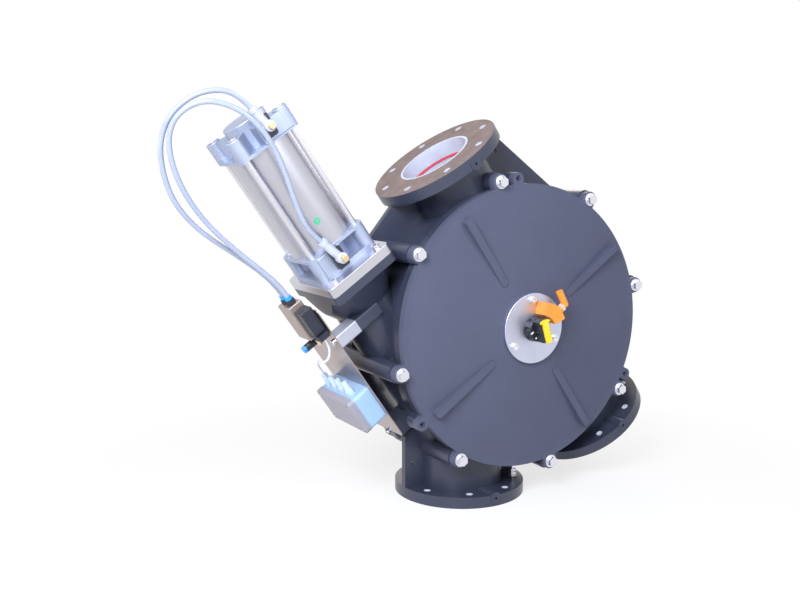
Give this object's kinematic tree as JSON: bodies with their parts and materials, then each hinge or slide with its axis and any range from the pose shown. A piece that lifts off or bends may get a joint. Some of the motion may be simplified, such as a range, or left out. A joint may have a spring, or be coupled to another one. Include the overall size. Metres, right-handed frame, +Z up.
{
  "type": "drum diverter valve",
  "caption": "Pneumatic conveying diverter: a drum with parallel channels turns between a straight and a branch outlet, driven by an air cylinder.",
  "frame": {"origin": "centre of the branch outlet flange face, which the valve stands on", "axes": "+Z up, against the branch flow; drum axis along Y with the position indicator on the -Y side; the inlet leans towards -X and the straight outlet points down towards +X"},
  "size_m": [1.1402, 0.3678, 0.8447],
  "materials": {
    "housing": "satin blue-black enamel on cast aluminium",
    "drum_metal": "machined casting",
    "steel": "turned and ground",
    "zinc": "bright zinc-plated steel",
    "hub_steel": "brushed stainless steel",
    "liner": "off-white wear-resistant plastic",
    "red_seal": "red silicone",
    "black_rubber": "matt",
    "bush": "sintered bronze",
    "knob_black": "moulded, fine matt",
    "signal_yellow": "moulded",
    "sensor_orange": "moulded",
    "cylinder_alu": "anodised",
    "cap_alu": "fine-blasted casting",
    "plate_alu": "milled",
    "fitting_brass": "nickelled and turned",
    "black_plastic": "glass-filled plastic",
    "blue_plastic": "moulded release ring",
    "sheet_steel": "stainless sheet",
    "box_paint": "light blue-grey powder coat",
    "gland_grey": "moulded",
    "hose": "translucent tube",
    "cable_white": "sheathed cable"
  },
  "bodies": {
    "housing": {"adapter_plate": "plate_alu", "adapter_screws": "zinc", "bracket_screws": "zinc", "bracket_sheet": "sheet_steel", "bracket_standoff": "cap_alu", "branch_liner": "liner", "branch_seal": "red_seal", "cable_glands": "gland_grey", "coil_connector": "black_plastic", "cover_bolts": "zinc", "cover_seals": "black_rubber", "cylinder_barrel": "cylinder_alu", "cylinder_lower_cap": "cap_alu", "cylinder_upper_cap": "cap_alu", "drum_bearings": "bush", "front_cover": "housing", "front_shaft_seal": "black_rubber", "hose_collets": "blue_plastic", "hose_fittings": "black_plastic", "housing_body": "housing", "hub_plate": "hub_steel", "hub_screws": "zinc", "inlet_liner": "liner", "inlet_seal": "red_seal", "jacking_screws": "zinc", "junction_box_base": "box_paint", "junction_box_lid": "box_paint", "junction_box_screws": "zinc", "lower_air_hose": "hose", "lower_flow_control": "black_plastic", "port_plugs": "zinc", "rear_bearing_cap": "housing", "rear_cover": "housing", "rod_gland": "bush", "sensor_body": "sensor_orange", "sensor_nut": "zinc", "sensor_plug": "sensor_orange", "silencers": "fitting_brass", "solenoid_cable": "cable_white", "straight_liner": "liner", "straight_seal": "red_seal", "supply_elbow": "black_plastic", "tie_rods": "zinc", "upper_air_hose": "hose", "upper_flow_control": "black_plastic", "valve_body": "cap_alu", "valve_coil": "black_plastic"},
    "drum": {"drum": "drum_metal", "front_shaft": "steel", "rear_shaft": "steel", "shaft_screws": "steel", "drive_pin": "steel", "indicator_knob": "knob_black", "indicator_pointer": "signal_yellow"},
    "piston": {"piston": "cylinder_alu", "piston_seal": "black_rubber", "piston_rod": "steel", "drive_yoke": "steel"},
    "upper_throttle": {"upper_throttle_screw": "fitting_brass"},
    "lower_throttle": {"lower_throttle_screw": "fitting_brass"}
  },
  "joints": [
    {"name": "drum_turn", "type": "hinge", "parent": "housing", "child": "drum", "pos_m": [0.08, 0, 0.375], "axis": [0, 1, 0], "range_deg": [0, 35]},
    {"name": "piston_slide", "type": "slide", "parent": "housing", "child": "piston", "axis": [-0.5736, 0, 0.8192], "range_m": [0, 0.1402]},
    {"name": "upper_throttle_turn", "type": "hinge", "parent": "housing", "child": "upper_throttle", "pos_m": [-0.47468, -0.101, 0.78011], "axis": [0, 1, 0], "range_deg": [-180, 180]},
    {"name": "lower_throttle_turn", "type": "hinge", "parent": "housing", "child": "lower_throttle", "pos_m": [-0.33177, -0.101, 0.53592], "axis": [0, 1, 0], "range_deg": [-180, 180]}
  ],
  "couplings": [
    {"joint": "piston_slide", "follows": "drum_turn", "m_per_rad": 0.22939}
  ]
}
